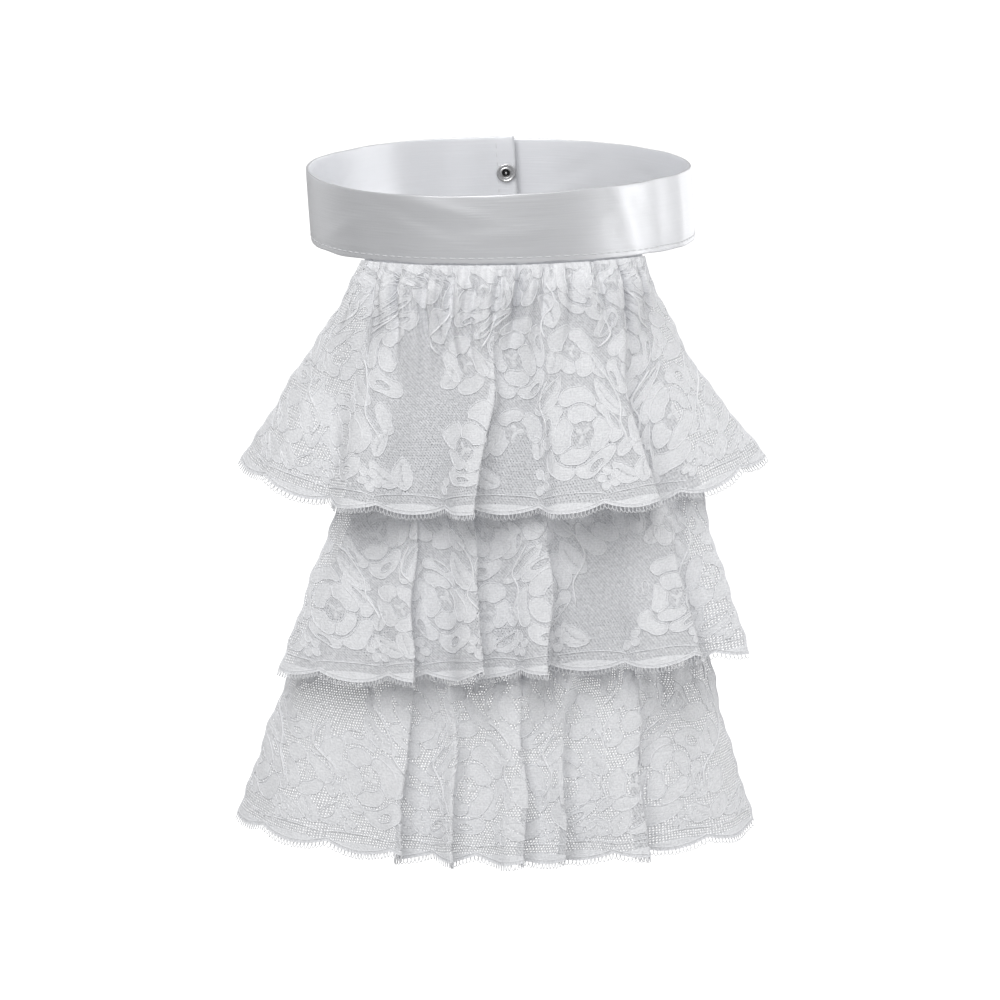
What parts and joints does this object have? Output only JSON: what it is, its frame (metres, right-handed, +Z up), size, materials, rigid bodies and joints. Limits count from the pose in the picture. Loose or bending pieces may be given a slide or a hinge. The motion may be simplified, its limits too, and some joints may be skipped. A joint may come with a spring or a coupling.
{
  "type": "lace jabot on a neckband",
  "caption": "Worn-form lace jabot: a satin neckband with a ring snap at the back and tiers of gathered, scalloped lace ruffles hanging from its front.",
  "frame": {"origin": "centre of the neck ring, at mid height of the band", "axes": "+Z up along the neck, +X to the right as seen from the front, the front faces -Y"},
  "size_m": [0.1853, 0.1583, 0.2307],
  "materials": {
    "satin": "white polyester satin with a soft gloss",
    "lace": "white floral lace on fine net, with corded outlines and a scalloped edge",
    "base_cloth": "plain white woven cloth, matt",
    "snap_metal": "nickel-plated pressed metal"
  },
  "bodies": {
    "root": {"neckband": "satin", "base_panel": "base_cloth", "tier_top": "lace", "tier_middle": "lace", "tier_bottom": "lace", "snap_ring": "snap_metal", "snap_socket": "snap_metal", "snap_stud": "snap_metal", "snap_cap": "snap_metal"}
  },
  "joints": []
}
